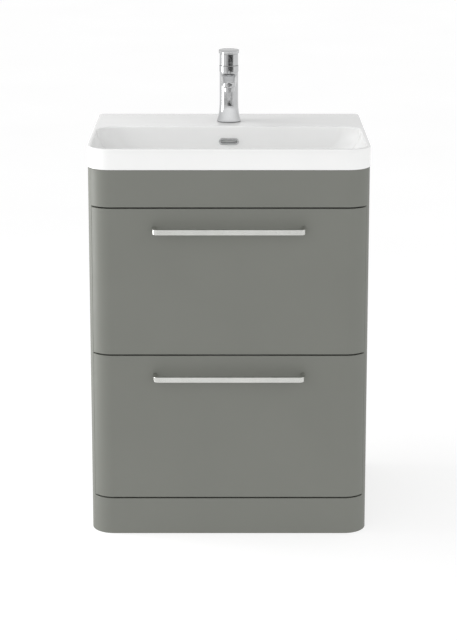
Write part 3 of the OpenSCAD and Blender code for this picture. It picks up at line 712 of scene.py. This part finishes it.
def build_lever():
    """A flat plate whose rounded nose points over the spout, and its stem."""
    low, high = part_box("tap_lever")
    plate_z, r, nose_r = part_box("tap_head")[1].z + 1 * MM, high.x - TAP_AXIS.x, 19.5 * MM
    back = arc(TAP_AXIS.x, TAP_AXIS.y, r, 0, 180, 40)
    right = arc(TAP_AXIS.x, TAP_AXIS.y, r, -30, 0, 8)[:-1]
    left = [(2 * TAP_AXIS.x - x, y) for x, y in reversed(right)]
    nose = arc(TAP_AXIS.x, low.y + nose_r, nose_r, 180, 360, 40)
    plate = prism("lever_plate", back + left + nose + right, plate_z, high.z, 1.4 * MM, 4, 50)
    stem = rod(3 * MM, (TAP_AXIS.x, TAP_AXIS.y, low.z), (TAP_AXIS.x, TAP_AXIS.y, plate_z + 0.5 * MM), 32)
    graph = bpy.context.evaluated_depsgraph_get()
    bevelled = bpy.data.meshes.new_from_object(plate.evaluated_get(graph))
    plate.modifiers.clear()
    plate.data = bevelled
    return join("tap_lever_plate", plate, stem)


def turned_ring(name, inner_r, outer_r, low_z, high_z, edge):
    """A ring turned round the tap's axis, with soft outer edges."""
    corners = [(inner_r, low_z), (outer_r, low_z), (outer_r, high_z), (inner_r, high_z)]
    return lathe(name, rounded(corners, [0, edge, edge, 0]), TAP_AXIS, sides=128)


def build_tap():
    body = even_normals(join("tap_casting", build_upright(), build_spout()))
    finish_piece(body, "cabinet", "chrome", "chrome", "tap_body")
    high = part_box("tap_collar")[1]
    collar_r, collar_gap = high.x - TAP_AXIS.x, 0.05 * MM
    collar = turned_ring("tap_collar_ring", BORE_R, collar_r, COLLAR_Z + collar_gap, high.z, 0.7 * MM)
    finish_piece(collar, "cabinet", "chrome", "chrome", "tap_collar")
    low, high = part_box("tap_head")
    head = turned_ring("tap_turning_head", 17.2 * MM, TAP_R, low.z, high.z, 0.6 * MM)
    finish_piece(head, "tap_head", "chrome", "chrome", "tap_head")
    finish_piece(build_lever(), "tap_lever", "chrome", "chrome", "tap_lever")


# ---- trap ----

TRAP_AXIS = sum(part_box("trap_nut"), Vector()) / 2


def ribs(count, depth, r_min, z_lo, z_hi):
    """A grip: grooves round the outside between two heights."""
    def wave(a, r, z):
        if r < r_min or not z_lo < z < z_hi:
            return r
        return r - depth * (0.5 + 0.5 * math.cos(count * a)) ** 3
    return wave


def with_grip_points(profile, r):
    """Adds points near both ends of the outer wall, so that the ribs can begin and end there."""
    near, far, longest_edge = 1.5 * MM, 2.5 * MM, 10 * MM
    out = []
    for here, after in zip(profile, profile[1:] + profile[:1]):
        out.append(here)
        if abs(here[0] - r) < TINY and abs(after[0] - r) < TINY and after[1] - here[1] > longest_edge:
            out += [(r, here[1] + near), (r, here[1] + far), (r, after[1] - far), (r, after[1] - near)]
    return out


def ribbed(name, corners, r, sides, grip):
    """Turns (radius, height, rounding) corners round the trap's axis, with ribs in the outer wall."""
    profile = rounded([corner[:2] for corner in corners], [corner[2] for corner in corners])
    return lathe(name, with_grip_points(profile, r), TRAP_AXIS, sides, grip)


def build_trap_nut():
    low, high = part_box("trap_nut")
    r, neck_r, thread_r, step_z = high.x - TRAP_AXIS.x, 16.3 * MM, 21.3 * MM, low.z + 15.5 * MM
    soft = 1.5 * MM
    corners = [(neck_r, low.z, 0), (r, low.z, soft), (r, high.z, soft), (thread_r, high.z, 0),
               (thread_r, step_z, 0), (neck_r, step_z, 0)]
    grip = ribs(16, 1.6 * MM, r - 0.1 * MM, low.z + 3.5 * MM, high.z - 3.5 * MM)
    nut = ribbed("trap_coupling_nut", corners, r, 192, grip)
    finish_piece(nut, "cabinet", "white_plastic", "white_plastic", "trap_nut")


def build_trap_cup():
    low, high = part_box("trap_cup")
    seat_z, floor_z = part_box("trap_body")[0].z, low.z + 3 * MM
    r, r_in, r_seat, tip_r = high.x - TRAP_AXIS.x, 27 * MM, 30.3 * MM, 0.1 * MM
    waist_r = r - 2.5 * MM
    corners = [(tip_r, low.z, 0), (r - 6 * MM, low.z, 6 * MM), (waist_r, low.z + 18 * MM, 10 * MM),
               (waist_r, seat_z - 14 * MM, 1 * MM), (r, seat_z - 12 * MM, 0.8 * MM), (r, high.z, 1 * MM),
               (r_seat, high.z, 0), (r_seat, seat_z, 0), (r_in, seat_z, 0), (r_in, floor_z, 3 * MM),
               (tip_r, floor_z, 0)]
    grip = ribs(20, 1.4 * MM, r - 0.1 * MM, seat_z - 9.5 * MM, high.z - 3 * MM)
    cup = ribbed("trap_cleaning_cup", corners, r, 240, grip)
    finish_piece(cup, "cabinet", "white_plastic", "white_plastic", "trap_cup")


# ---- pieces that stay the CAD's own ----

def dress_the_rest():
    for node in ("base_panel", "plinth_rear_rail", "front_rail", "hanging_rail"):
        dress(node, "carcass", 0.6 * MM)
    dress("back_panel", "drawer", 0.4 * MM)
    for level in ("upper", "lower"):
        for part in ("side_left", "side_right", "box_front", "back", "bottom"):
            dress(f"{level}_{part}", "drawer", 0.7 * MM, 3)
        dress(f"{level}_drawer_rails", "zinc", 0.25 * MM)
        dress(f"cabinet_rails_{level}", "zinc", 0.25 * MM)
        dress(f"slide_members_{level}", "zinc", 0.25 * MM)
        dress(f"{level}_handle_screws", "zinc", 0.3 * MM)
        dress(f"{level}_front_screws", "brass", 0.3 * MM)
    dress("upper_cutout_guard", "grey_plastic", 0.8 * MM, 3)
    dress("front_bumpers", "rubber", 0.2 * MM)
    for node in ("waste_seal", "waste_washer", "tap_base_seal"):
        dress(node, "rubber", 0.3 * MM)
    dress("waste_body", "chrome", 0.5 * MM)
    for node in ("waste_nut", "tap_clamp_nut"):
        dress(node, "brass", 0.6 * MM)
    for node in ("trap_inlet_pipe", "trap_body", "trap_outlet_pipe"):
        dress(node, "white_plastic", 0.6 * MM)
    for node in ("tap_stud", "tap_clamp_washer"):
        dress(node, "zinc", 0.3 * MM)
    dress("tap_cartridge", "cartridge", 0.5 * MM)
    dress("tap_aerator", "grey_plastic", 0.3 * MM)


build_fronts()
build_basin()
build_overflow_cover()
build_waste()
build_tap()
build_trap_nut()
build_trap_cup()
for each in ("upper", "lower"):
    build_handle(each)
dress_the_rest()


# ---- the stage ----

def build_floor():
    """A pale floor that glows a little, so that it runs out to white."""
    half, thickness = 20, 0.05
    square = [(-half, -half), (half, -half), (half, half), (-half, half)]
    rings = [[(x, y, z) for x, y in square] for z in (0, -thickness)]
    floor = loft("studio_floor", rings, caps=(True, True))
    n = Nodes("pale_floor", 0.9)
    n.base(n.noise(1.5, 2), (0.42, 0.42, 0.42), (0.44, 0.44, 0.44))
    n.shader.inputs["Emission Color"].default_value = (1, 1, 1, 1)
    n.shader.inputs["Emission Strength"].default_value = 0.68
    n.shader.inputs["Specular IOR Level"].default_value = 0.1
    floor.data.materials.append(n.mat)


def build_dark_screen():
    """A curved dark screen round the tap, lighter towards its ends, that only reflections see."""
    radius, low_z, high_z = 4.75, 0.215, 0.50
    first, sweep, columns = -36, 92, 40  # degrees from straight ahead of the tap
    middle_x, half_width = 1.5, 3.4  # where the cloth is darkest, and how far away it is lightest
    tap = sum(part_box("tap_base_seal"), Vector()) / 2
    angles = [math.radians(first + sweep * i / columns) for i in range(columns + 1)]
    verts = [(tap.x + radius * math.sin(a), tap.y - radius * math.cos(a), z)
             for z in (low_z, high_z) for a in angles]
    faces = [(i, i + 1, columns + 2 + i, columns + 1 + i) for i in range(columns)]
    card = new_object("dark_screen", verts, faces)

    n = Nodes("dark_cloth", 0.95)
    axes = n.add("ShaderNodeSeparateXYZ")
    n.link(n.coords, axes.inputs["Vector"])
    away = n.add("ShaderNodeMath", operation="SUBTRACT")
    away.inputs[1].default_value = middle_x
    n.link(axes.outputs["X"], away.inputs[0])
    distance = n.add("ShaderNodeMath", operation="ABSOLUTE")
    n.link(away.outputs["Value"], distance.inputs[0])
    share = n.add("ShaderNodeMath", operation="DIVIDE")
    share.inputs[1].default_value = half_width
    n.link(distance.outputs["Value"], share.inputs[0])
    n.base(share.outputs["Value"], (0.02, 0.02, 0.02), (0.75, 0.75, 0.75), (0.45, 1.0))
    card.data.materials.append(n.mat)
    card.visible_camera = card.visible_diffuse = card.visible_shadow = False


def build_world():
    """White light from all round, weaker from overhead and from behind."""
    world = bpy.data.worlds.new("studio")
    bpy.context.scene.world = world
    world.use_nodes = True
    tree = world.node_tree
    coords = tree.nodes.new("ShaderNodeTexCoord")
    axes = tree.nodes.new("ShaderNodeSeparateXYZ")
    tree.links.new(coords.outputs["Generated"], axes.inputs["Vector"])
    product = tree.nodes.new("ShaderNodeMath")
    product.operation = "MULTIPLY"
    fades = (("Z", 0.35, 0.95, 1.1, 0.42), ("Y", -1, 1, 1.22, 0.7))
    for i, (axis, start, end, at_start, at_end) in enumerate(fades):
        fade = tree.nodes.new("ShaderNodeMapRange")
        for key, v in (("From Min", start), ("From Max", end), ("To Min", at_start), ("To Max", at_end)):
            fade.inputs[key].default_value = v
        tree.links.new(axes.outputs[axis], fade.inputs["Value"])
        tree.links.new(fade.outputs["Result"], product.inputs[i])
    background = tree.nodes["Background"]
    tree.links.new(product.outputs["Value"], background.inputs["Strength"])
    background.inputs["Color"].default_value = (1, 1, 1, 1)


def softbox(name, at, target, size, power, glossy):
    """A rectangular light, in watts, that faces a target and may show in reflections."""
    light = bpy.data.lights.new(name, "AREA")
    light.shape, light.size, light.size_y, light.energy = "RECTANGLE", size[0], size[1], power
    obj = bpy.data.objects.new(name, light)
    obj.location = at
    obj.rotation_euler = (Vector(target) - Vector(at)).to_track_quat("-Z", "Y").to_euler()
    obj.visible_camera = False
    obj.visible_glossy = glossy
    bpy.context.scene.collection.objects.link(obj)


def build_stage():
    view = bpy.context.scene.view_settings
    view.view_transform = "Standard"
    view.look = "None"
    build_floor()
    build_dark_screen()
    build_world()
    softbox("window_left_high", (-1.35, 0.05, 1.70), (0, 0.05, 0.9), (0.9, 1.4), 13, False)
    softbox("window_left_low", (-1.35, 0.0, 0.48), (0, 0.0, 0.48), (0.5, 0.8), 6, True)


def build_camera():
    """The photograph's eye direction, with most of its large upright shift turned into a tilt."""
    distance, eye_z, tilt = 4.0, 1.600, 11.85
    data = bpy.data.cameras.new("camera")
    data.sensor_width, data.lens = 36, 109.46
    data.shift_x, data.shift_y = -0.000625, -0.20
    data.clip_end = 100
    camera = bpy.data.objects.new("camera", data)
    camera.location = (0, FRONT_Y - distance, eye_z)
    camera.rotation_euler = (math.radians(90 - tilt), 0, 0)
    bpy.context.scene.collection.objects.link(camera)
    bpy.context.scene.camera = camera


build_stage()
build_camera()
